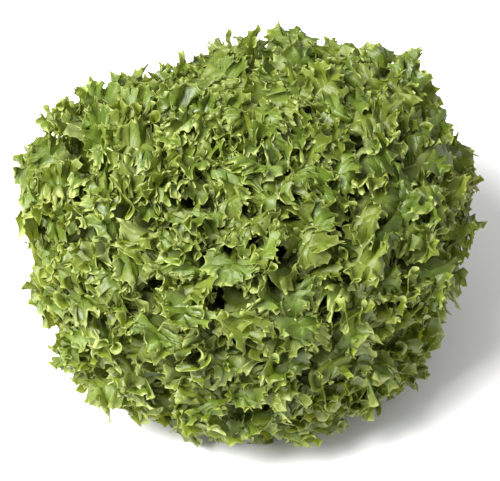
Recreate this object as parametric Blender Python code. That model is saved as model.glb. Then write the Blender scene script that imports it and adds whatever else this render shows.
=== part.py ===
"""A frilly multileaf lettuce head, as cut for sale, standing on its cut stem.

The head is a dense, slightly lopsided dome of narrow-based leaves. They grow in one golden-angle spiral from
a short stem, fan out near their tips, curl outwards and end in a waved, sharply toothed edge.
Units are metres, +Z is up, and the origin is the centre of the stem's flat cut face. The front is -Y.
"""

import math

import bmesh
import bpy
from mathutils import Vector

# The head's overall form
HEAD_HALF_WIDTH = 0.1315
HEAD_HALF_DEPTH = 0.1240
CROWN_HEIGHT = 0.176
WIDEST_HEIGHT = 0.084
CROWN_BOXINESS = 2.35
FOOT_BOXINESS = 2.8
BULGES = (
    # azimuth from +X in degrees, height angle in degrees, spread in degrees, outward gain
    (36, 25, 22, 0.05),
    (60, 45, 28, 0.02),
    (128, 36, 24, -0.15),
    (163, 12, 18, 0.04),
    (188, -7, 20, -0.07),
    (214, -25, 20, 0.04),
    (285, -30, 24, 0.06),
    (316, -32, 14, 0.08),
    (330, -22, 20, -0.08),
    (357, -3, 20, -0.02),
)

# The leaves' layout on the stem and in the dome
LEAF_COUNT = 118
GOLDEN_ANGLE = math.pi * (3 - math.sqrt(5))
LOWEST_POLAR_ANGLE = math.radians(130)
HIGHEST_POLAR_ANGLE = 0.04
TURN_SCATTER = 0.10
FALL_SCATTER = 0.05
REACH_RANGE = (0.93, 1.0)
CURL_RANGE = (0.35, 1.05)
FOOT_CURL = 0.90
ROLL_SCATTER = 0.65
LYING_HEIGHT = 0.0012
SAG_HEIGHT = 0.0030

# The stem, and how the leaves' roots sit on it
STEM_RADIUS = 0.0175
STEM_CUT_RADIUS = 0.0150
STEM_HEIGHT = 0.010
STEM_SIDES = 28
STEM_RIM = 0.0008
SHOOT_HEIGHT = 0.040
SHOOT_TAPER = 1.5
LOWEST_ROOT_HEIGHT = 0.014
ROOT_RING_RANGE = (0.2, 0.8)
JOINT_GAP = 0.0003

# A leaf's midline, as shares of its length
ROOT_PULL = 0.38
TIP_PULL = 0.24
ROOT_SPREAD = 0.72
LEAST_RISE = 0.25
RISE = 0.90
STEP = 0.02

# One leaf's blade
BLADE_THICKNESS = 0.0011
FAN_HALF_WIDTH = 0.0205
WIDTH_RANGE = (0.9, 1.15)
ROOT_WIDTH = 0.30
ARCH_WIDTH = 0.55
WAIST_WIDTH = 0.90
EDGE_WIDTH = 1.12
WAIST = 0.82
TOOTH_DEPTH = 0.0055
TOOTH_RANGE = (0.7, 1.3)
SINUS_DEPTH = 0.55
TEETH_POINTS = 7
WAVE_DEPTH = 0.0080
WAVE_RANGE = (0.8, 1.2)
WAIST_FOLDS = ((-1, 1), (-0.33, -1), (0.33, 1), (1, -1))

# The packed inner leaves
CORE_SHARE = 0.70
CORE_DRAW_IN = 0.62
CORE_SEGMENTS = 14
CORE_RINGS = 12
CORE_SKIN = 0.97
ROOT_SINK = 0.07

LEAF_GREEN = (0.165, 0.225, 0.035, 1.0)
LEAF_ROUGHNESS = 0.45
STEM_CREAM = (0.62, 0.56, 0.36, 1.0)
STEM_ROUGHNESS = 0.6


def chance(index, draw):
    """A repeatable number from 0 to 1 for a leaf and a draw, spread like noise."""
    return (math.sin(index * 12.9898 + draw * 78.233 + 4.1) * 43758.5453) % 1.0


def between(index, draw, limits):
    """A repeatable number between two limits."""
    low, high = limits
    return low + (high - low) * chance(index, draw)


def scatter(index, draw, reach):
    """A repeatable number within a reach on either side of nought."""
    return between(index, draw, (-reach, reach))


def outward(azimuth, polar):
    """The unit vector at an azimuth from +X and a polar angle from +Z."""
    return Vector((math.sin(polar) * math.cos(azimuth), math.sin(polar) * math.sin(azimuth), math.cos(polar)))


def head_radius(way):
    """How far the head reaches from its middle along a unit vector: a boxy dome with a few soft bulges."""
    level = math.hypot(way.x / HEAD_HALF_WIDTH, way.y / HEAD_HALF_DEPTH)
    depth = CROWN_HEIGHT - WIDEST_HEIGHT if way.z > 0 else WIDEST_HEIGHT
    power = CROWN_BOXINESS if way.z > 0 else FOOT_BOXINESS
    reach = (level**power + (abs(way.z) / depth) ** power) ** (-1 / power)
    for azimuth, height, spread, gain in BULGES:
        middle = outward(math.radians(azimuth), math.radians(90 - height))
        away = way.angle(middle) / math.radians(spread)
        reach *= 1 + gain * math.exp(-0.5 * away * away)
    return reach


class Leaf:
    """One leaf's midline, as a cubic curve from the stem to its tip, and the side that its blade spreads to."""

    def __init__(self, index):
        self.index = index
        age = (index + 0.5) / LEAF_COUNT
        azimuth = index * GOLDEN_ANGLE + scatter(index, 1, TURN_SCATTER)
        polar = math.acos(1 - (1 - math.cos(LOWEST_POLAR_ANGLE)) * age) + scatter(index, 2, FALL_SCATTER)
        polar = max(HIGHEST_POLAR_ANGLE, polar)
        radial = outward(azimuth, polar)
        falling = outward(azimuth, polar + math.pi / 2)
        flat = outward(azimuth, math.pi / 2)
        tip = Vector((0, 0, WIDEST_HEIGHT)) + radial * head_radius(radial) * between(index, 3, REACH_RANGE)
        curl = between(index, 4, CURL_RANGE) + FOOT_CURL * age
        end_way = (radial + curl * falling).normalized()
        lean = polar * ROOT_SPREAD
        rise = Vector((0, 0, LEAST_RISE + RISE * math.cos(lean)))
        start_way = (flat * math.sin(lean) + rise).normalized()
        inner, outer = ROOT_RING_RANGE
        root = flat * STEM_RADIUS * (inner + (outer - inner) * age)
        root.z = LOWEST_ROOT_HEIGHT + (SHOOT_HEIGHT - STEM_HEIGHT) * (1 - age) ** SHOOT_TAPER
        self.length = (tip - root).length
        self.points = (
            root,
            root + start_way * self.length * ROOT_PULL,
            tip - end_way * self.length * TIP_PULL,
            tip,
        )
        roll = scatter(index, 5, ROLL_SCATTER)
        around = Vector((-math.sin(azimuth), math.cos(azimuth), 0))
        self.side = around * math.cos(roll) + end_way.cross(around) * math.sin(roll)

    def midline(self, v):
        """The point of the midline at v, from 0 at the stem to 1 at the tip."""
        a, b, c, d = self.points
        w = 1 - v
        return a * w**3 + b * 3 * w * w * v + c * 3 * w * v * v + d * v**3

    def place(self, v, across, lift):
        """A point of the blade: across to its side and lift towards its upper face, in metres."""
        base = self.midline(min(v, 1.0))
        way = (base - self.midline(min(v, 1.0) - STEP)).normalized()
        beyond = way * max(0.0, v - 1.0) * self.length
        side = (self.side - way * self.side.dot(way)).normalized()
        return lie_on_table(base + beyond + side * across - side.cross(way) * lift)


def lie_on_table(point):
    """Bends a low point up, so that drooping leaves lie along the surface that the stem stands on."""
    low = LYING_HEIGHT + SAG_HEIGHT
    if point.z < low:
        point.z = LYING_HEIGHT + SAG_HEIGHT * math.exp((point.z - low) / SAG_HEIGHT)
    return point


def core_radius(way):
    """How far the packed core reaches along a unit vector. It draws in under the head."""
    drop = max(0.0, -way.z)
    share = CORE_SHARE + (1 - CORE_SHARE) * drop**4 - CORE_DRAW_IN * drop * (1 - drop)
    return head_radius(way) * share


def in_core(point):
    """Whether a point lies inside the packed core."""
    away = point - Vector((0, 0, WIDEST_HEIGHT))
    return away.length < core_radius(away.normalized()) * CORE_SKIN


def root_share(leaf):
    """Where along its midline a blade starts, so that its root is sunk in the core."""
    v = WAIST
    while v > STEP and not in_core(leaf.midline(v)):
        v -= STEP / 2
    return max(0.0, v - ROOT_SINK)


def blade_rows(leaf):
    """The blade's rows of points, from its root inside the core to its toothed edge."""
    i = leaf.index
    half = FAN_HALF_WIDTH * between(i, 6, WIDTH_RANGE)
    tooth = TOOTH_DEPTH / leaf.length
    wave = WAVE_DEPTH * between(i, 7, WAVE_RANGE)
    turn = 1 if chance(i, 8) > 0.5 else -1
    start = root_share(leaf)
    rows = [[leaf.place(start, half * ROOT_WIDTH * s, 0) for s in (-1, 1)]]
    if start < WAIST / 2:
        rows.append([leaf.place((start + WAIST) / 2, half * ARCH_WIDTH * s, 0) for s in (-1, 1)])
    rows.append([leaf.place(WAIST, half * WAIST_WIDTH * s, turn * wave * fold / 2) for s, fold in WAIST_FOLDS])
    edge = []
    for j in range(TEETH_POINTS):
        s = 2 * j / (TEETH_POINTS - 1) - 1
        is_tip = j % 2 == 0
        peak = between(i, 20 + j, TOOTH_RANGE) if is_tip else -SINUS_DEPTH
        fold = (1 if j % 4 == 0 else -1) if is_tip else 0
        edge.append(leaf.place(1 + tooth * (peak - s * s), half * EDGE_WIDTH * s, turn * wave * fold))
    rows.append(edge)
    return rows


def zip_rows(bm, lower, upper):
    """Fills the strip between two rows of different counts with triangles."""
    i = j = 0
    while i < len(lower) - 1 or j < len(upper) - 1:
        lower_next = (i + 1) / (len(lower) - 1)
        upper_next = (j + 1) / (len(upper) - 1)
        if j < len(upper) - 1 and (upper_next <= lower_next or i == len(lower) - 1):
            bm.faces.new((lower[i], upper[j + 1], upper[j]))
            j += 1
        else:
            bm.faces.new((lower[i], lower[i + 1], upper[j]))
            i += 1


def thicken(bm, thickness):
    """Turns a thin sheet of triangles into a closed solid, split alike on both faces."""
    bmesh.ops.recalc_face_normals(bm, faces=bm.faces)
    bmesh.ops.extrude_face_region(bm, geom=bm.faces[:], use_keep_orig=True)
    bm.normal_update()
    shifts = [vert.normal * thickness / 2 for vert in bm.verts]
    for vert, shift in zip(bm.verts, shifts):
        vert.co += shift
    bmesh.ops.triangulate(bm, faces=bm.faces)


def make_blade(leaf):
    """One leaf's blade as a thin closed solid, waved and toothed at its edge."""
    bm = bmesh.new()
    rows = [[bm.verts.new(p) for p in row] for row in blade_rows(leaf)]
    for lower, upper in zip(rows, rows[1:]):
        zip_rows(bm, lower, upper)
    thicken(bm, BLADE_THICKNESS)
    return new_object(bm, f"blade_{leaf.index:03d}")


def new_object(bm, name):
    """Moves a bmesh into a new object in the scene."""
    mesh = bpy.data.meshes.new(name)
    bm.to_mesh(mesh)
    bm.free()
    thing = bpy.data.objects.new(name, mesh)
    bpy.context.scene.collection.objects.link(thing)
    return thing


def make_core():
    """The packed inner leaves as one rounded mass, narrowing to the stem, which every blade stands out of."""
    bm = bmesh.new()
    bmesh.ops.create_uvsphere(bm, u_segments=CORE_SEGMENTS, v_segments=CORE_RINGS, radius=1.0)
    middle = Vector((0, 0, WIDEST_HEIGHT))
    for vert in bm.verts:
        way = vert.co.normalized()
        vert.co = middle + way * core_radius(way)
        vert.co.z = max(vert.co.z, STEM_HEIGHT + JOINT_GAP)
    bmesh.ops.triangulate(bm, faces=bm.faces)
    bmesh.ops.recalc_face_normals(bm, faces=bm.faces)
    return new_object(bm, "leaf_head")


def make_leaf_head():
    """The core and all the blades, joined into one body."""
    head = make_core()
    blades = bpy.data.collections.new("blades")
    bpy.context.scene.collection.children.link(blades)
    for index in range(LEAF_COUNT):
        blade = make_blade(Leaf(index))
        bpy.context.scene.collection.objects.unlink(blade)
        blades.objects.link(blade)
    joining = head.modifiers.new("join_blades", "BOOLEAN")
    joining.operation = "UNION"
    joining.operand_type = "COLLECTION"
    joining.collection = blades
    joining.solver = "MANIFOLD"
    bpy.context.view_layer.update()
    graph = bpy.context.evaluated_depsgraph_get()
    joined = bpy.data.meshes.new_from_object(head.evaluated_get(graph))
    head.modifiers.clear()
    head.data = joined
    for blade in list(blades.objects):
        bpy.data.objects.remove(blade)
    bpy.data.collections.remove(blades)
    keep_main_body(head.data)
    return head


def keep_main_body(mesh):
    """Drops loose scraps, and fills sealed hollows by dropping their inner skins."""
    bm = bmesh.new()
    bm.from_mesh(mesh)
    unseen = set(bm.verts)
    bodies = []
    while unseen:
        first = unseen.pop()
        body = {first}
        front = [first]
        while front:
            vert = front.pop()
            fresh = {edge.other_vert(vert) for edge in vert.link_edges} & unseen
            unseen -= fresh
            body |= fresh
            front.extend(fresh)
        bodies.append(body)
    bodies.sort(key=len)
    for body in bodies[:-1]:
        bmesh.ops.delete(bm, geom=list(body), context="VERTS")
    bmesh.ops.triangulate(bm, faces=bm.faces)
    bm.to_mesh(mesh)
    bm.free()


def make_stem():
    """The cut stem: a short, slightly flared plug with a soft rim round its flat cut face."""
    bm = bmesh.new()
    bmesh.ops.create_cone(
        bm,
        cap_ends=True,
        segments=STEM_SIDES,
        radius1=STEM_CUT_RADIUS,
        radius2=STEM_RADIUS,
        depth=STEM_HEIGHT,
    )
    bmesh.ops.translate(bm, verts=bm.verts, vec=(0, 0, STEM_HEIGHT / 2))
    rim = [edge for edge in bm.edges if all(vert.co.z < STEM_HEIGHT / 2 for vert in edge.verts)]
    bmesh.ops.bevel(bm, geom=rim, offset=STEM_RIM, segments=2, profile=0.5, affect="EDGES", material=-1)
    stem = new_object(bm, "cut_stem")
    stem.data.shade_smooth()
    stem.data.set_sharp_from_angle(angle=math.radians(30))
    return stem


def paint(thing, name, colour, roughness):
    """Gives a sub-part its own plain material."""
    paint_name = bpy.data.materials.new(name)
    paint_name.use_nodes = True
    shader = paint_name.node_tree.nodes["Principled BSDF"]
    shader.inputs["Base Color"].default_value = colour
    shader.inputs["Roughness"].default_value = roughness
    shader.inputs["Metallic"].default_value = 0.0
    paint_name.diffuse_color = colour
    thing.data.materials.clear()
    thing.data.materials.append(paint_name)


for old in list(bpy.data.objects):
    bpy.data.objects.remove(old)
paint(make_leaf_head(), "leaf", LEAF_GREEN, LEAF_ROUGHNESS)
paint(make_stem(), "stem", STEM_CREAM, STEM_ROUGHNESS)
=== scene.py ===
"""The looks of the frilly lettuce head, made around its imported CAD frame. Metres, +Z up, the front is -Y."""

import math

import bmesh
import bpy
import numpy as np
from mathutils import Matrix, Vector


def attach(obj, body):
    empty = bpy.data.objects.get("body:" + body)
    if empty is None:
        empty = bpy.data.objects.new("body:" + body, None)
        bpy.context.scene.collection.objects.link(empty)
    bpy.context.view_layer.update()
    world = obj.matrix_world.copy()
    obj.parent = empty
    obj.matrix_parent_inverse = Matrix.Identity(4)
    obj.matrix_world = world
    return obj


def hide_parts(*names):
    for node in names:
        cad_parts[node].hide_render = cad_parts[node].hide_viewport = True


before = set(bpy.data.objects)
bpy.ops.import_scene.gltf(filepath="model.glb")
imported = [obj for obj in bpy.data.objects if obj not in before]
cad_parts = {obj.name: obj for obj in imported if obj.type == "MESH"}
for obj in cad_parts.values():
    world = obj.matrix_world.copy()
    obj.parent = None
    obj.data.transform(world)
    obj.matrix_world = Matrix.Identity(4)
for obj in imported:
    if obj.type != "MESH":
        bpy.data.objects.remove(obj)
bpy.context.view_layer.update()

# The leaf blades
# Hundreds of thin, waxy blades grow in golden-angle spirals round the short stem, the youngest at the top,
# and their tips make a boxy dome over shorter inner leaves. Each fans out into a ruffled edge of sharp teeth
# with round bays between them. The layout is the CAD's, with more and smaller leaves.
MM = 0.001
TURN = 2 * math.pi
HEAD_HALF_WIDTH = 0.1315
HEAD_HALF_DEPTH = 0.1240
CROWN_HEIGHT = 0.176
WIDEST_HEIGHT = 0.084
CROWN_BOXINESS = 2.35
FOOT_BOXINESS = 2.8
BULGES = (
    # azimuth from +X in degrees, height angle in degrees, spread in degrees, outward gain
    (36, 26, 20, 0.08),
    (56, 38, 20, 0.05),
    (84, 43, 14, -0.04),
    (132, 34, 22, -0.14),
    (157, 18, 15, 0.17),
    (192, -10, 16, -0.08),
    (210, -24, 18, 0.10),
    (228, -34, 14, -0.06),
    (281, -42, 12, 0.08),
    (299, -38, 10, -0.07),
    (318, -31, 12, 0.12),
    (334, -20, 20, -0.10),
    (357, -3, 20, -0.02),
)
TUFTS = 9.0
TUFT_PHASES = (1.0, 2.0, 3.0)
TUFT_GAIN = 0.035


def outward(azimuth, polar):
    """The unit vector at an azimuth from +X and a polar angle from +Z."""
    return Vector((math.sin(polar) * math.cos(azimuth), math.sin(polar) * math.sin(azimuth), math.cos(polar)))


def head_radius(way):
    """How far the head reaches from its middle along a unit vector: a boxy dome with a few soft bulges."""
    level = math.hypot(way.x / HEAD_HALF_WIDTH, way.y / HEAD_HALF_DEPTH)
    depth = CROWN_HEIGHT - WIDEST_HEIGHT if way.z > 0 else WIDEST_HEIGHT
    power = CROWN_BOXINESS if way.z > 0 else FOOT_BOXINESS
    reach = (level**power + (abs(way.z) / depth) ** power) ** (-1 / power)
    for azimuth, height, spread, gain in BULGES:
        middle = outward(math.radians(azimuth), math.radians(90 - height))
        away = way.angle(middle) / math.radians(spread)
        reach *= 1 + gain * math.exp(-0.5 * away * away)
    tuft = math.prod(math.sin(TUFTS * place + phase) for place, phase in zip(way, TUFT_PHASES))
    return reach * (1 + TUFT_GAIN * tuft)


OUTER_LEAVES = 420
INNER_LEAVES = 215
LEAF_VARIATION = {
    # what varies: its draw, its least and most on the youngest leaf, its least and most on the oldest
    "azimuth": (1, -0.10, 0.10, -0.10, 0.10),
    "polar_angle": (2, -0.05, 0.05, -0.05, 0.05),
    "outer_reach": (3, 0.90, 1.00, 0.95, 1.00),
    "inner_reach": (3, 0.80, 0.90, 0.80, 0.90),
    "curl": (4, 0.60, 1.65, -0.90, 0.90),
    "roll": (5, -1.0, 1.0, -1.5, 1.5),
    "fan_size": (6, 0.80, 1.15, 0.80, 1.15),
    "sway": (7, -0.75, 0.75, -0.75, 0.75),
    "lobe_phase": (31, 0.0, TURN, 0.0, TURN),
    "bay_phase": (32, 0.0, 1.0, 0.0, 1.0),
    "cup": (60, -12.0, 26.0, -12.0, 26.0),
    "recurve": (61, -1.0 * MM, 7.0 * MM, -1.0 * MM, 7.0 * MM),
    "twist": (62, -18.0, 18.0, -18.0, 18.0),
    "grain": (63, 0.0, TURN, 0.0, TURN),
    "tone": (70, 0.0, 1.0, 0.0, 1.0),
    "hue": (71, 0.0, 1.0, 0.0, 1.0),
}
CHANCE_STEPS = (12.9898, 78.233)
CHANCE_START = 4.1
CHANCE_SPREAD = 43758.5453


def chance(index, draw):
    """A repeatable number from 0 to 1 for a leaf and a draw, spread like noise."""
    angle = index * CHANCE_STEPS[0] + draw * CHANCE_STEPS[1] + CHANCE_START
    return (math.sin(angle) * CHANCE_SPREAD) % 1.0


def leaf_age(index):
    """A leaf's age, from 0 for the youngest to 1 for the oldest, in its own spiral, outer or inner."""
    if index < OUTER_LEAVES:
        return (index + 0.5) / OUTER_LEAVES
    return (index - OUTER_LEAVES + 0.5) / INNER_LEAVES


def aged(index, youngest, oldest):
    """A value that runs evenly from the youngest leaf's to the oldest leaf's."""
    return youngest + (oldest - youngest) * leaf_age(index)


def varied(index, what):
    """A leaf's own value of what varies from leaf to leaf, within limits that may shift with its age."""
    draw, young_least, young_most, old_least, old_most = LEAF_VARIATION[what]
    least = aged(index, young_least, old_least)
    most = aged(index, young_most, old_most)
    return least + (most - least) * chance(index, draw)


GOLDEN_ANGLE = math.pi * (3 - math.sqrt(5))
LOWEST_POLAR_ANGLE = math.radians(130)
LEAST_POLAR_ANGLE = 0.04
STEM_RADIUS = 0.0175
ROOT_SHARES = (0.2, 0.8)
ROOT_HEIGHT = 0.014
SHOOT_RISE = 0.030
SHOOT_TAPER = 1.5
STALK_LEAN = 0.72
STALK_RISES = (0.25, 0.90)
CURVE_HANDLES = (0.38, 0.24)
MIDLINE_STEP = 0.02
TABLE_GAP = 1.2 * MM
SAG_START = 4.2 * MM
SAG_SOFTNESS = 3 * MM


def leaf_curve(index):
    """A leaf's four curve points, from its root on the stem to its tip on the dome, with its length and its
    side vector. The inner leaves stop short of the dome."""
    azimuth = index * GOLDEN_ANGLE + varied(index, "azimuth")
    polar = math.acos(aged(index, 1, math.cos(LOWEST_POLAR_ANGLE))) + varied(index, "polar_angle")
    polar = max(LEAST_POLAR_ANGLE, polar)
    radial = outward(azimuth, polar)
    falling = outward(azimuth, polar + math.pi / 2)
    level = outward(azimuth, math.pi / 2)
    around = Vector((-math.sin(azimuth), math.cos(azimuth), 0))
    reach = varied(index, "outer_reach" if index < OUTER_LEAVES else "inner_reach")
    tip = Vector((0, 0, WIDEST_HEIGHT)) + radial * head_radius(radial) * reach
    end_way = (radial + varied(index, "curl") * falling + varied(index, "sway") * around).normalized()
    lean = polar * STALK_LEAN
    rise = STALK_RISES[0] + STALK_RISES[1] * math.cos(lean)
    start_way = (level * math.sin(lean) + Vector((0, 0, rise))).normalized()
    root = level * STEM_RADIUS * aged(index, *ROOT_SHARES)
    root.z = ROOT_HEIGHT + SHOOT_RISE * (1 - leaf_age(index)) ** SHOOT_TAPER
    length = (tip - root).length
    first_handle = root + start_way * length * CURVE_HANDLES[0]
    last_handle = tip - end_way * length * CURVE_HANDLES[1]
    roll = varied(index, "roll")
    side = around * math.cos(roll) + end_way.cross(around) * math.sin(roll)
    points = [np.array(point) for point in (root, first_handle, last_handle, tip)]
    return points, length, np.array(side)


def unit(rows):
    """Each row as a vector of length 1."""
    return rows / np.linalg.norm(rows, axis=1)[:, None]


def along_curve(points, share):
    """Points along a cubic curve at shares of it, each a row."""
    a, b, c, d = points
    rest = 1 - share
    parts = (a, rest**3), (b, 3 * rest * rest * share), (c, 3 * rest * share * share), (d, share**3)
    return sum(np.outer(weight, point) for point, weight in parts)


def midline(index, share):
    """Points on a leaf's midline at shares of its length, with the ways across it and out of its face."""
    points, length, side = leaf_curve(index)
    inside = np.clip(share, 0, 1)
    place = along_curve(points, inside)
    along = unit(place - along_curve(points, inside - MIDLINE_STEP))
    place = place + along * (np.maximum(0, share - 1) * length)[:, None]
    across = unit(side - along * (along @ side)[:, None])
    return place, across, np.cross(along, across)


def laid_on_table(place):
    """The points with what would sink into the table lying just above it."""
    sunk = place[:, 2] < SAG_START
    depth = place[sunk, 2] - SAG_START
    place[sunk, 2] = TABLE_GAP + (SAG_START - TABLE_GAP) * np.exp(depth / SAG_SOFTNESS)
    return place


# The form of one blade: a lobed fan round the end of its midrib, narrowing to the width of its stalk
FAN_RADIUS = 0.0128
FAN_HALF_ANGLE = math.radians(118)
FAN_SHARE_OF_EDGE = 0.80
FAN_CENTRE_SHARE = 0.9
FAN_STRETCH = 0.05
LOBE_TURNS = 7.0
LOBE_DEPTH = 0.09
LOBE_LIFT = 3.0 * MM
LOBE_LIFT_PHASE = 1.0
LOBE_LIFT_POWER = 1.5
STALK_HALF_WIDTH = 0.0035
STALK_EDGE_POWER = 1.3
MIDRIB_START = -0.30
MIDRIB_REACH = 0.90
FRILL_FADE = 0.35
TOOTH_FOOT_SHARE = 0.35
TOOTH_FOOT_POWER = 4
EDGE_FLARE = 0.12
NUDGE = 1e-6
RUFFLES = (
    # wavelength, height on the youngest and on the oldest leaf, how fast it grows towards the edge, how far
    # it leans over, and the draws of its phase, height and unevenness
    (12.0 * MM, 4.7 * MM, 7.6 * MM, 1.3, 0.50, (40, 44, 50)),
    (6.0 * MM, 0.7 * MM, 3.5 * MM, 3.0, 0.40, (41, 45, 51)),
)
RUFFLE_LEAST = 0.75
RUFFLE_MOST = 1.30
UNEVENNESS = 1.3
UNEVEN_PACE = 1.7
UNEVEN_SLANT = 1.5
RECURVE_POWER = 3
TWIST_START = 1.5
CRUMPLE_LIFT = 1.2 * MM
CRUMPLE_LENGTHS = (9.1 * MM, 10.6 * MM)
CRUMPLE_FADE = 0.5


def smooth(start, end, value):
    """A soft step from 0 at the start to 1 at the end."""
    share = np.clip((value - start) / (end - start), 0, 1)
    return share * share * (3 - 2 * share)


def down_stalk(round_share):
    """How far down the stalk each share round a blade's edge lies: 0 all round the fan, 1 at the stem."""
    return np.clip((np.abs(2 * round_share - 1) - FAN_SHARE_OF_EDGE) / (1 - FAN_SHARE_OF_EDGE), 0, 1)


def ruffled(index, along, far, frilled):
    """How far the ruffles lift each point of a blade out of its face and slide it along its edge."""
    lift = np.zeros_like(far)
    slide = np.zeros_like(far)
    for wavelength, young_height, old_height, power, over, draws in RUFFLES:
        phase, size, unevenness = (chance(index, draw) for draw in draws)
        warp = UNEVENNESS * np.sin(UNEVEN_PACE * along / wavelength + UNEVEN_SLANT * far + TURN * unevenness)
        angle = TURN * (along / wavelength + phase) + warp
        height = aged(index, young_height, old_height) * (RUFFLE_LEAST + (RUFFLE_MOST - RUFFLE_LEAST) * size)
        weight = height * frilled * far**power
        lift += weight * np.sin(angle)
        slide -= weight * over * np.sin(2 * angle)
    return lift, slide


def crumpled(index, x, y, inner):
    """How far the soft dimples between the veins lift each point of a blade."""
    grain = varied(index, "grain")
    u = (x * math.cos(grain) + y * math.sin(grain)) / CRUMPLE_LENGTHS[0]
    w = (y * math.cos(grain) - x * math.sin(grain)) / CRUMPLE_LENGTHS[1]
    crumple = np.sin(TURN * u + grain) * np.sin(TURN * w + 2 * grain)
    return CRUMPLE_LIFT * crumple * smooth(0.0, CRUMPLE_FADE, inner)


def blade_surface(index, round_share, out_share, reach, nod):
    """Points of a leaf's blade at shares round its edge, from one side of its stalk to the other, and out
    from its midrib: 1 at the bays and 2 at the edge itself, which the teeth's reach carries out and their
    nod tips to one face."""
    length = leaf_curve(index)[1]
    radius = FAN_RADIUS * varied(index, "fan_size")
    centre = length - radius * FAN_CENTRE_SHARE
    round_fan = 2 * round_share - 1
    turn = np.clip(round_fan / FAN_SHARE_OF_EDGE, -1, 1) * FAN_HALF_ANGLE
    down = down_stalk(round_share)
    narrowed = down**STALK_EDGE_POWER
    lobe_turn = LOBE_TURNS * turn + varied(index, "lobe_phase")
    lobed = radius * (1 + LOBE_DEPTH * np.sin(lobe_turn) + FAN_STRETCH * np.cos(turn))
    edge_x = lobed * np.sin(turn) * (1 - down) + np.sign(round_fan) * STALK_HALF_WIDTH * down
    edge_y = lobed * np.cos(turn) * (1 - narrowed) - centre * narrowed
    rib_y = radius * (MIDRIB_START + MIDRIB_REACH * np.cos(turn)) * (1 - down) - centre * down
    frilled = 1 - smooth(0.0, FRILL_FADE, down)
    outs = unit(np.stack((edge_x, edge_y - rib_y + NUDGE), axis=1))
    inner = np.minimum(out_share, 1.0)
    outer = np.clip(out_share - 1.0, 0, 1)
    tooth_foot = TOOTH_FOOT_SHARE * inner**TOOTH_FOOT_POWER
    grown = reach * frilled * (tooth_foot + (1 - TOOTH_FOOT_SHARE) * outer)
    along = 2 * FAN_HALF_ANGLE / FAN_SHARE_OF_EDGE * radius * round_share
    far = inner + EDGE_FLARE * outer
    lift, slide = ruffled(index, along, far, frilled)
    x = edge_x * inner + outs[:, 0] * grown - slide * outs[:, 1]
    y = rib_y + (edge_y - rib_y) * inner + outs[:, 1] * grown + slide * outs[:, 0] + centre
    above_base = np.maximum(0, y - centre + TWIST_START * radius)
    lift += nod * outer
    lift += varied(index, "cup") * x * x + varied(index, "twist") * x * above_base
    lift -= varied(index, "recurve") * far**RECURVE_POWER * frilled
    lift += crumpled(index, x, y, inner)
    lift += LOBE_LIFT * frilled * np.sin(lobe_turn + LOBE_LIFT_PHASE) * far**LOBE_LIFT_POWER
    place, across, face = midline(index, y / length)
    return laid_on_table(place + across * x[:, None] + face * lift[:, None])


# The teeth, evenly spaced along the ruffled edge, with shallow bays between groups of them
OUTER_TEETH = 38
INNER_TEETH = 22
TOOTH_HEIGHT = 2.3 * MM
TOOTH_SHARPNESS = 2.2
TOOTH_CROWDING = 0.055
LEAST_TOOTH = 0.7
TOOTH_RANGE = 0.6
TOOTH_STEPS = (12.9, 3.7)
TOOTH_SPREAD = 437.5
TOOTH_NOD = 1.7 * MM
NOD_STEP = 2.4
BAY_HEIGHT = 1.4 * MM
BAY_TEETH = 3.7
BAY_MIDDLE = 0.6
STALK_EDGE_SAVING = 0.88
EDGE_SAMPLES = 1500
LEAST_RIM = 0.2 * MM
FAN_DEPTH_SHARE = 0.6


def blade_points(index, column, out_share, teeth):
    """Where a net's points go on one leaf, with its teeth evenly spaced along the ruffled edge, and how far
    each point lies in from the edge."""
    fine = np.linspace(0, 1, EDGE_SAMPLES)
    none = np.zeros_like(fine)
    edge = blade_surface(index, fine, np.ones_like(fine), none, none)
    steps = np.linalg.norm(np.diff(edge, axis=0), axis=1)
    toothless = smooth(0.0, FRILL_FADE, down_stalk(fine[1:]))
    run = np.concatenate(([0], np.cumsum(steps * (1 - STALK_EDGE_SAVING * toothless))))
    phase = column * teeth
    phase = phase - TOOTH_CROWDING * np.sin(TURN * phase)
    round_share = np.interp(phase / teeth, run / run[-1], fine)
    number = np.floor(phase + 0.5)
    tooth = np.abs(2 * (phase - np.floor(phase)) - 1) ** TOOTH_SHARPNESS
    tooth_chance = np.mod(np.sin(number * TOOTH_STEPS[0] + index * TOOTH_STEPS[1]) * TOOTH_SPREAD, 1.0)
    tall = LEAST_TOOTH + TOOTH_RANGE * tooth_chance
    bay = 0.5 + 0.5 * np.sin(TURN * (phase / BAY_TEETH + varied(index, "bay_phase")))
    reach = TOOTH_HEIGHT * tooth * tall + BAY_HEIGHT * (bay - BAY_MIDDLE)
    nod = TOOTH_NOD * tooth * np.sin(number * NOD_STEP + index)
    rim = (1 - TOOTH_FOOT_SHARE) * np.maximum(reach, LEAST_RIM)
    from_edge = rim * np.clip(2 - out_share, 0, 1)
    from_edge = from_edge + FAN_DEPTH_SHARE * FAN_RADIUS * np.clip(1 - out_share, 0, 1)
    return blade_surface(index, round_share, out_share, reach, nod), from_edge


NET_ROWS = (0.0, 0.35, 0.60, 0.78, 0.90, 1.0, 2.0)
COLUMNS_DOUBLE_FROM = (0.70, 0.95)
SAME_HEIGHT = 1e-6


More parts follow.
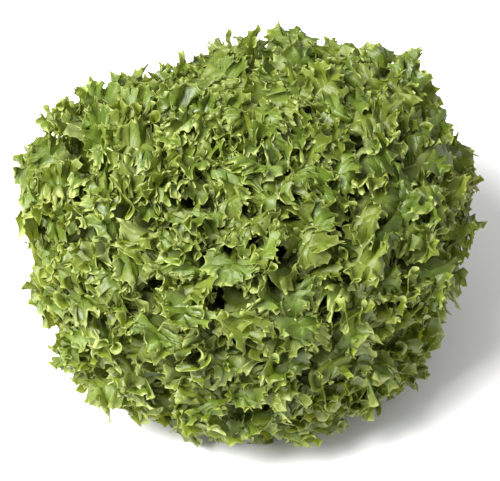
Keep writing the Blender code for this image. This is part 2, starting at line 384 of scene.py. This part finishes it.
def blade_net(steps):
    """A blade's flat net: x runs round its edge from 0 to 1, and y holds the rows from the midrib out. The
    columns double twice towards the edge."""
    bm = bmesh.new()
    bmesh.ops.create_grid(bm, x_segments=steps, y_segments=len(NET_ROWS) - 1, size=0.5)
    for vert in bm.verts:
        row = round((vert.co.y + 0.5) * (len(NET_ROWS) - 1))
        vert.co = (vert.co.x + 0.5, NET_ROWS[row], 0)
    for start in COLUMNS_DOUBLE_FROM:
        level = [e for e in bm.edges if abs(e.verts[0].co.y - e.verts[1].co.y) < SAME_HEIGHT]
        bmesh.ops.subdivide_edges(bm, edges=[e for e in level if e.verts[0].co.y > start], cuts=1)
    bmesh.ops.triangulate(bm, faces=[f for f in bm.faces if len(f.verts) > 4])
    mesh = bpy.data.meshes.new("blade_net")
    bm.to_mesh(mesh)
    bm.free()
    return mesh


def net_points(mesh):
    """A mesh's points as rows."""
    points = np.empty(len(mesh.vertices) * 3)
    mesh.vertices.foreach_get("co", points)
    return points.reshape(-1, 3)


def joined_copies(name, net, placed, numbers):
    """One mesh of copies of a net, moved to their places, with named numbers for each point."""
    bm = bmesh.new()
    for place in placed:
        one = net.copy()
        one.vertices.foreach_set("co", place.ravel())
        bm.from_mesh(one)
        bpy.data.meshes.remove(one)
    mesh = bpy.data.meshes.new(name)
    bm.to_mesh(mesh)
    bm.free()
    for attribute, values in numbers.items():
        mesh.attributes.new(attribute, "FLOAT", "POINT").data.foreach_set("value", np.concatenate(values))
    mesh.shade_smooth()
    return mesh


def add_piece(name, mesh, material, cad_node):
    """An object of a mesh that stands for a CAD node or a part of one."""
    piece = bpy.data.objects.new(name, mesh)
    bpy.context.scene.collection.objects.link(piece)
    mesh.materials.append(material)
    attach(piece, "root")
    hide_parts(cad_node)


def node(tree, kind, **settings):
    """A new node of a material with some of its settings."""
    made = tree.nodes.new(kind)
    for name, value in settings.items():
        setattr(made, name, value)
    return made


def feed(tree, socket, value):
    """Gives a socket a number, a colour or another node's output."""
    if isinstance(value, bpy.types.NodeSocket):
        tree.links.new(value, socket)
    elif isinstance(value, tuple):
        socket.default_value = (*value, 1)
    else:
        socket.default_value = value


def mixed(tree, share, first, second):
    """The colour between two colours by a share."""
    made = node(tree, "ShaderNodeMixRGB")
    for name, value in (("Fac", share), ("Color1", first), ("Color2", second)):
        feed(tree, made.inputs[name], value)
    return made.outputs["Color"]


def stepped(tree, value, start, end, low=0.0, high=1.0):
    """A number carried from one range to another and held at both ends."""
    made = node(tree, "ShaderNodeMapRange")
    limits = (("Value", value), ("From Min", start), ("From Max", end), ("To Min", low), ("To Max", high))
    for name, number in limits:
        feed(tree, made.inputs[name], number)
    return made.outputs["Result"]


def figured(tree, how, first, second=0.0):
    """A sum, a product or the like of two numbers."""
    made = node(tree, "ShaderNodeMath", operation=how)
    feed(tree, made.inputs[0], first)
    feed(tree, made.inputs[1], second)
    return made.outputs["Value"]


def noise(tree, scale, detail):
    """Soft noise fixed to the object."""
    made = node(tree, "ShaderNodeTexNoise")
    made.inputs["Scale"].default_value = scale
    made.inputs["Detail"].default_value = detail
    tree.links.new(node(tree, "ShaderNodeTexCoord").outputs["Object"], made.inputs["Vector"])
    return made.outputs["Fac"]


def stored(tree, name):
    """A number stored for each point of the mesh."""
    return node(tree, "ShaderNodeAttribute", attribute_name=name).outputs["Fac"]


def bumped(tree, height, strength, distance):
    """Fits a bump of a height to the material's main shader."""
    made = node(tree, "ShaderNodeBump")
    made.inputs["Strength"].default_value = strength
    made.inputs["Distance"].default_value = distance
    tree.links.new(height, made.inputs["Height"])
    tree.links.new(made.outputs["Normal"], tree.nodes["Principled BSDF"].inputs["Normal"])


def lit_through(tree, colour, share):
    """Lets a share of the light through the material, tinted."""
    through = node(tree, "ShaderNodeBsdfTranslucent")
    feed(tree, through.inputs["Color"], colour)
    blend = node(tree, "ShaderNodeMixShader")
    blend.inputs["Fac"].default_value = share
    tree.links.new(tree.nodes["Principled BSDF"].outputs["BSDF"], blend.inputs[1])
    tree.links.new(through.outputs["BSDF"], blend.inputs[2])
    tree.links.new(blend.outputs["Shader"], tree.nodes["Material Output"].inputs["Surface"])


# The finish of the leaves. Here and below, a noise is given by its scale and detail, a range by where a
# change starts and ends, and a bump by its strength and depth.
DEEP_GREEN = (0.050, 0.088, 0.005)
COOL_GREEN = (0.113, 0.175, 0.013)
YELLOW_GREEN = (0.148, 0.169, 0.010)
VEIN_GREEN = (0.27, 0.31, 0.055)
EDGE_GREEN = (0.205, 0.243, 0.018)
# The pale rim colour: partly the margin's own paler green, partly a painted highlight along the edges.
RIM_AND_HIGHLIGHT_GREEN = (0.328, 0.364, 0.10)
STALK_GREEN = (0.42, 0.47, 0.20)
THROUGH_GREEN = (0.232, 0.31, 0.022)
THROUGH_EDGE = (0.34, 0.37, 0.03)
THROUGH_SHARE = 0.24
MOTTLE_NOISE = (45, 4)
MOTTLE_WEIGHT = 0.86
MOTTLE_RANGE = (0.35, 0.65)
TONE_WEIGHT = 0.28
SHADE_RANGE = (0.3, 0.9)
NET_CELLS_PER_METRE = 330
NET_LINE_WIDTH = 0.12
NET_LINE_COLOUR = 0.16
NET_LINE_DEPTH = 0.35
RIBS_ROUND_EDGE = 14
RIB_LINE_WIDTH = 0.22
RIB_LINE_COLOUR = 0.35
RIB_FADE = (0.05, 0.48)
EDGE_RANGE = (0.40, 1.0)
EDGE_COLOUR = 0.40
# How far in from the edge the pale rim with its painted highlight reaches, and how strong it is.
RIM_HIGHLIGHT_RANGE = (0.05 * MM, 0.55 * MM)
RIM_HIGHLIGHT_COLOUR = 0.65
STALK_RANGE = (0.0, 0.9)
STALK_COLOUR = 0.7
VEIN_BUMP = (0.35, 0.5 * MM)
LEAF_ROUGHNESS = (0.39, 0.62)
LEAF_SPECULAR = 0.55
FAN_SHARE_START = 0.6
NET_STEPS = 5
NET_TEETH = 3


def leaf_material():
    """Waxy leaf: mottled green, paler to the edge and the stalk, with ribs and a fine net of veins. A thin
    pale rim along the very edge is partly the margin's own paler green and partly a painted highlight.
    """
    material = bpy.data.materials.new("leaf_green")
    material.use_nodes = True
    tree = material.node_tree
    shader = tree.nodes["Principled BSDF"]
    edge_share = stored(tree, "edge_share")
    mottle = noise(tree, *MOTTLE_NOISE)
    cells = node(tree, "ShaderNodeTexVoronoi", feature="DISTANCE_TO_EDGE")
    cells.inputs["Scale"].default_value = NET_CELLS_PER_METRE
    tree.links.new(node(tree, "ShaderNodeTexCoord").outputs["Object"], cells.inputs["Vector"])
    net_line = stepped(tree, cells.outputs["Distance"], 0.0, NET_LINE_WIDTH, 1.0, 0.0)
    turns = figured(tree, "MULTIPLY", stored(tree, "round_edge"), math.pi * RIBS_ROUND_EDGE)
    ribs = figured(tree, "ABSOLUTE", figured(tree, "SINE", turns))
    inside = stepped(tree, edge_share, *RIB_FADE, 1.0, 0.0)
    rib_line = figured(tree, "MULTIPLY", stepped(tree, ribs, 0.0, RIB_LINE_WIDTH, 1.0, 0.0), inside)
    leaf_tone = figured(tree, "MULTIPLY", stored(tree, "leaf_tone"), TONE_WEIGHT)
    shade = figured(tree, "ADD", leaf_tone, figured(tree, "MULTIPLY", mottle, MOTTLE_WEIGHT))
    fresh_green = mixed(tree, stored(tree, "leaf_hue"), COOL_GREEN, YELLOW_GREEN)
    green = mixed(tree, stepped(tree, shade, *SHADE_RANGE), DEEP_GREEN, fresh_green)
    green = mixed(tree, figured(tree, "MULTIPLY", net_line, NET_LINE_COLOUR), green, VEIN_GREEN)
    green = mixed(tree, figured(tree, "MULTIPLY", rib_line, RIB_LINE_COLOUR), green, VEIN_GREEN)
    green = mixed(tree, stepped(tree, edge_share, *EDGE_RANGE, 0.0, EDGE_COLOUR), green, EDGE_GREEN)
    # A thin pale rim right at the edge: partly the margin's own paler green, partly a painted highlight where
    # the edges catch the light.
    rim_and_highlight = stepped(tree, stored(tree, "from_edge"), *RIM_HIGHLIGHT_RANGE, RIM_HIGHLIGHT_COLOUR, 0.0)
    green = mixed(tree, rim_and_highlight, green, RIM_AND_HIGHLIGHT_GREEN)
    near_stalk = stepped(tree, stored(tree, "fan_share"), *STALK_RANGE, STALK_COLOUR, 0.0)
    green = mixed(tree, near_stalk, green, STALK_GREEN)
    tree.links.new(green, shader.inputs["Base Color"])
    tree.links.new(stepped(tree, mottle, *MOTTLE_RANGE, *LEAF_ROUGHNESS), shader.inputs["Roughness"])
    shader.inputs["Specular IOR Level"].default_value = LEAF_SPECULAR
    sunk_net = figured(tree, "MULTIPLY", net_line, NET_LINE_DEPTH)
    bumped(tree, figured(tree, "SUBTRACT", rib_line, sunk_net), *VEIN_BUMP)
    lit_through(tree, mixed(tree, edge_share, THROUGH_GREEN, THROUGH_EDGE), THROUGH_SHARE)
    return material


def blades_mesh(name, first, last, teeth):
    """One mesh of the blades of a run of leaves, each made from one net with steps enough for its teeth."""
    net = blade_net(teeth * NET_STEPS // NET_TEETH)
    column, out_share, _ = net_points(net).T
    made = [blade_points(index, column, out_share, teeth) for index in range(first, last)]
    stalk_share = (np.abs(2 * column - 1) - FAN_SHARE_START) / (1 - FAN_SHARE_START)
    same = np.ones_like(column)
    numbers = {
        "edge_share": [out_share / 2 for _ in made],
        "from_edge": [from_edge for _, from_edge in made],
        "fan_share": [1 - np.clip(stalk_share, 0, 1) for _ in made],
        "round_edge": [column for _ in made],
        "leaf_tone": [same * varied(index, "tone") for index in range(first, last)],
        "leaf_hue": [same * varied(index, "hue") for index in range(first, last)],
    }
    mesh = joined_copies(name, net, [place for place, _ in made], numbers)
    bpy.data.meshes.remove(net)
    return mesh


leaf = leaf_material()
WHORLS = ("heart", "crown", "upper", "lower", "foot")
for turn, whorl in enumerate(WHORLS):
    first, last = (OUTER_LEAVES * step // len(WHORLS) for step in (turn, turn + 1))
    whorl_mesh = blades_mesh(whorl + "_leaves", first, last, OUTER_TEETH)
    add_piece(whorl + "_leaves", whorl_mesh, leaf, "leaf_head")
inner_mesh = blades_mesh("inner_leaves", OUTER_LEAVES, OUTER_LEAVES + INNER_LEAVES, INNER_TEETH)
add_piece("inner_leaves", inner_mesh, leaf, "leaf_head")

# The stalks
# Each outer leaf's blade runs down a juicy, whitish stalk, its midrib, which is widest where it clasps the
# stem and thins out in the fan. They show from below and in the gaps between the leaves.
STALK_SIDES = 8
STALK_STEPS = 9
STALK_END_SHARE = 0.90
STALK_TAPER = 1.4
STALK_WIDTHS = (3.4 * MM, 0.5 * MM)
STALK_THICKNESSES = (1.9 * MM, 0.35 * MM)
STALK_WHITE = (0.60, 0.62, 0.40)
STALK_PALE_GREEN = (0.30, 0.38, 0.10)
GREENING_POWER = 0.8
STREAKS_ROUND_STALK = 9.0
STREAK_NOISE = (160, 3)
STREAK_WEIGHT = 0.16
STREAK_BUMP = (0.3, 0.4 * MM)
STALK_THROUGH_SHARE = 0.15
STALK_GLOSS_NOISE = (220, 2)
GLOSS_RANGE = (0.3, 0.7)
STALK_ROUGHNESS = (0.28, 0.42)


def stalk_net():
    """A stalk's plain tube, one across and one high."""
    bm = bmesh.new()
    bmesh.ops.create_cone(bm, segments=STALK_SIDES, radius1=1, radius2=1, depth=1, cap_ends=True)
    upright = [e for e in bm.edges if abs(e.verts[0].co.z - e.verts[1].co.z) > 0.5]
    bmesh.ops.subdivide_edges(bm, edges=upright, cuts=STALK_STEPS - 1)
    mesh = bpy.data.meshes.new("stalk_net")
    bm.to_mesh(mesh)
    bm.free()
    return mesh


def stalk_points(index, net):
    """Where a stalk's points go on one leaf: tapered from the stem along the leaf's midline."""
    rise = net[:, 2] + 0.5
    taper = (1 - rise) ** STALK_TAPER
    wide = STALK_WIDTHS[1] + (STALK_WIDTHS[0] - STALK_WIDTHS[1]) * taper
    thick = STALK_THICKNESSES[1] + (STALK_THICKNESSES[0] - STALK_THICKNESSES[1]) * taper
    place, across, face = midline(index, rise * STALK_END_SHARE)
    return laid_on_table(place + across * (wide * net[:, 0])[:, None] + face * (thick * net[:, 1])[:, None])


def stalk_material():
    """Juicy stalk: white at the stem and pale green higher up, with fine lengthwise streaks."""
    material = bpy.data.materials.new("stalk_white")
    material.use_nodes = True
    tree = material.node_tree
    shader = tree.nodes["Principled BSDF"]
    streaks = figured(tree, "MULTIPLY", stored(tree, "round_stalk"), STREAKS_ROUND_STALK)
    streaks = figured(tree, "ADD", figured(tree, "SINE", streaks), noise(tree, *STREAK_NOISE))
    streaks = figured(tree, "MULTIPLY", streaks, STREAK_WEIGHT)
    share = figured(tree, "ADD", figured(tree, "POWER", stored(tree, "up_stalk"), GREENING_POWER), streaks)
    tree.links.new(mixed(tree, share, STALK_WHITE, STALK_PALE_GREEN), shader.inputs["Base Color"])
    roughness = stepped(tree, noise(tree, *STALK_GLOSS_NOISE), *GLOSS_RANGE, *STALK_ROUGHNESS)
    tree.links.new(roughness, shader.inputs["Roughness"])
    bumped(tree, streaks, *STREAK_BUMP)
    lit_through(tree, STALK_PALE_GREEN, STALK_THROUGH_SHARE)
    return material


stalk = stalk_net()
stalk_rows = net_points(stalk)
stalk_numbers = {
    "up_stalk": [stalk_rows[:, 2] + 0.5] * OUTER_LEAVES,
    "round_stalk": [np.arctan2(stalk_rows[:, 1], np.abs(stalk_rows[:, 0]))] * OUTER_LEAVES,
}
stalks_placed = [stalk_points(index, stalk_rows) for index in range(OUTER_LEAVES)]
stalks_mesh = joined_copies("leaf_stalks", stalk, stalks_placed, stalk_numbers)
add_piece("leaf_stalks", stalks_mesh, stalk_material(), "leaf_head")
bpy.data.meshes.remove(stalk)

# The stem
# The short, firm stem narrows upwards inside the leaves, which all grow from it. Its foot, in place of the
# CAD's cut_stem, ends in a flat cut of pale flesh with a greener ring and a little browning.
FOOT_TOP = 0.010
FOOT_RADII = (0.0150, STEM_RADIUS)
SHOOT_BOTTOM = 0.009
SHOOT_TOP = 0.046
SHOOT_RADII = (0.0168, 0.0055)
STEM_SIDES = 72
ROUND_EDGE = 0.8 * MM
ROUND_EDGE_STEPS = 4
SMOOTH_BELOW = math.radians(40)
FLESH_CREAM = (0.66, 0.62, 0.40)
RING_GREEN = (0.36, 0.40, 0.16)
CUT_BROWN = (0.36, 0.20, 0.075)
SKIN_GREEN = (0.42, 0.46, 0.22)
RING_RADIUS = 0.0130
RING_RANGE = (0.4 * MM, 1.7 * MM)
RING_NOISE = (130, 2)
RING_WAVINESS = 2.4 * MM
RING_COLOUR = 0.75
SPOT_NOISE = (190, 5)
SPOT_RANGE = (0.50, 0.72)
SPOT_COLOUR = 0.7
RIM_BROWN_RANGE = (FOOT_RADII[0] - 0.5 * MM, FOOT_RADII[0] + 1.5 * MM)
RIM_BROWNING = 0.55
SKIN_RANGE = (0.6 * MM, 2.0 * MM)
SKIN_NOISE = (90, 4)
STEM_GLOSS_NOISE = (400, 3)
STEM_ROUGHNESS = (0.32, 0.55)
STEM_BUMP_NOISE = (700, 4)
STEM_BUMP = (0.4, 0.3 * MM)


def stem_material():
    """Cut stem: cream flesh with a greener ring of vessels, browned in spots, and pale green skin."""
    material = bpy.data.materials.new("stem_flesh")
    material.use_nodes = True
    tree = material.node_tree
    shader = tree.nodes["Principled BSDF"]
    place = node(tree, "ShaderNodeSeparateXYZ")
    tree.links.new(node(tree, "ShaderNodeTexCoord").outputs["Object"], place.inputs["Vector"])
    squares = [figured(tree, "MULTIPLY", place.outputs[axis], place.outputs[axis]) for axis in ("X", "Y")]
    radius = figured(tree, "SQRT", figured(tree, "ADD", *squares))
    waves = figured(tree, "MULTIPLY", noise(tree, *RING_NOISE), RING_WAVINESS)
    radius = figured(tree, "ADD", radius, waves)
    from_ring = figured(tree, "ABSOLUTE", figured(tree, "SUBTRACT", radius, RING_RADIUS))
    ring = stepped(tree, from_ring, *RING_RANGE, RING_COLOUR, 0.0)
    colour = mixed(tree, ring, FLESH_CREAM, RING_GREEN)
    spots = stepped(tree, noise(tree, *SPOT_NOISE), *SPOT_RANGE, 0.0, SPOT_COLOUR)
    colour = mixed(tree, spots, colour, CUT_BROWN)
    rim = stepped(tree, radius, *RIM_BROWN_RANGE, 0.0, RIM_BROWNING)
    colour = mixed(tree, rim, colour, CUT_BROWN)
    above_cut = stepped(tree, place.outputs["Z"], *SKIN_RANGE)
    skin = mixed(tree, noise(tree, *SKIN_NOISE), SKIN_GREEN, FLESH_CREAM)
    tree.links.new(mixed(tree, above_cut, colour, skin), shader.inputs["Base Color"])
    roughness = stepped(tree, noise(tree, *STEM_GLOSS_NOISE), *GLOSS_RANGE, *STEM_ROUGHNESS)
    tree.links.new(roughness, shader.inputs["Roughness"])
    bumped(tree, noise(tree, *STEM_BUMP_NOISE), *STEM_BUMP)
    return material


def stem_length(name, bottom, top, radii):
    """A round length of stem with soft rims."""
    bm = bmesh.new()
    tall = top - bottom
    bottom_radius, top_radius = radii
    bmesh.ops.create_cone(
        bm, segments=STEM_SIDES, radius1=bottom_radius, radius2=top_radius, depth=tall, cap_ends=True
    )
    bmesh.ops.translate(bm, verts=bm.verts, vec=(0, 0, bottom + tall / 2))
    rims = [e for e in bm.edges if abs(e.verts[0].co.z - e.verts[1].co.z) < SAME_HEIGHT]
    bmesh.ops.bevel(
        bm,
        geom=rims,
        offset=ROUND_EDGE,
        segments=ROUND_EDGE_STEPS,
        profile=0.5,
        affect="EDGES",
        material=-1,
    )
    mesh = bpy.data.meshes.new(name)
    bm.to_mesh(mesh)
    bm.free()
    mesh.shade_smooth()
    mesh.set_sharp_from_angle(angle=SMOOTH_BELOW)
    return mesh


flesh = stem_material()
add_piece("stem_foot", stem_length("stem_foot", 0.0, FOOT_TOP, FOOT_RADII), flesh, "cut_stem")
shoot = stem_length("stem_shoot", SHOOT_BOTTOM, SHOOT_TOP, SHOOT_RADII)
add_piece("stem_shoot", shoot, flesh, "leaf_head")

# The floor and the light
# A plain pale studio floor under a bright white sky, with one broad, soft lamp above the head, to its left
# and a little in front.
FLOOR_WHITE = (0.90, 0.90, 0.90)
FLOOR_HALF_SIZE = 3.0
SKY_WHITE = (1.0, 1.0, 1.0)
SKY_STRENGTH = 0.70
LAMP_POWER = 101
LAMP_SIZE = 1.0
LAMP_PLACE = Vector((-0.85, -0.50, 1.45))
MIDDLE = Vector((0.0, 0.0, 0.075))

bm = bmesh.new()
bmesh.ops.create_grid(bm, x_segments=1, y_segments=1, size=FLOOR_HALF_SIZE)
floor_mesh = bpy.data.meshes.new("floor")
bm.to_mesh(floor_mesh)
bm.free()
floor = bpy.data.objects.new("floor", floor_mesh)
bpy.context.scene.collection.objects.link(floor)
pale = bpy.data.materials.new("pale_floor")
pale.use_nodes = True
feed(pale.node_tree, pale.node_tree.nodes["Principled BSDF"].inputs["Base Color"], FLOOR_WHITE)
floor_mesh.materials.append(pale)

sky = bpy.data.worlds.new("studio")
bpy.context.scene.world = sky
sky.use_nodes = True
feed(sky.node_tree, sky.node_tree.nodes["Background"].inputs["Color"], SKY_WHITE)
feed(sky.node_tree, sky.node_tree.nodes["Background"].inputs["Strength"], SKY_STRENGTH)

lamp = bpy.data.lights.new("lamp", "AREA")
lamp.energy = LAMP_POWER
lamp.size = LAMP_SIZE
lamp_object = bpy.data.objects.new("lamp", lamp)
lamp_object.location = LAMP_PLACE
lamp_object.rotation_euler = (MIDDLE - LAMP_PLACE).to_track_quat("-Z", "Y").to_euler()
bpy.context.scene.collection.objects.link(lamp_object)

# The camera
# It looks down on the head from the front, at the photo's angle, and from far enough away that the picture
# has little perspective.
CAMERA_AZIMUTH = -math.pi / 2
CAMERA_HEIGHT_ANGLE = math.radians(48)
CAMERA_DISTANCE = 2.2
PICTURE_WIDTH = 0.2895
lens = bpy.data.cameras.new("camera")
lens.lens = lens.sensor_width * CAMERA_DISTANCE / PICTURE_WIDTH
camera = bpy.data.objects.new("camera", lens)
camera.location = MIDDLE + CAMERA_DISTANCE * outward(CAMERA_AZIMUTH, math.pi / 2 - CAMERA_HEIGHT_ANGLE)
camera.rotation_euler = (MIDDLE - camera.location).to_track_quat("-Z", "Y").to_euler()
bpy.context.scene.collection.objects.link(camera)
bpy.context.scene.camera = camera
bpy.context.scene.view_settings.view_transform = "Standard"
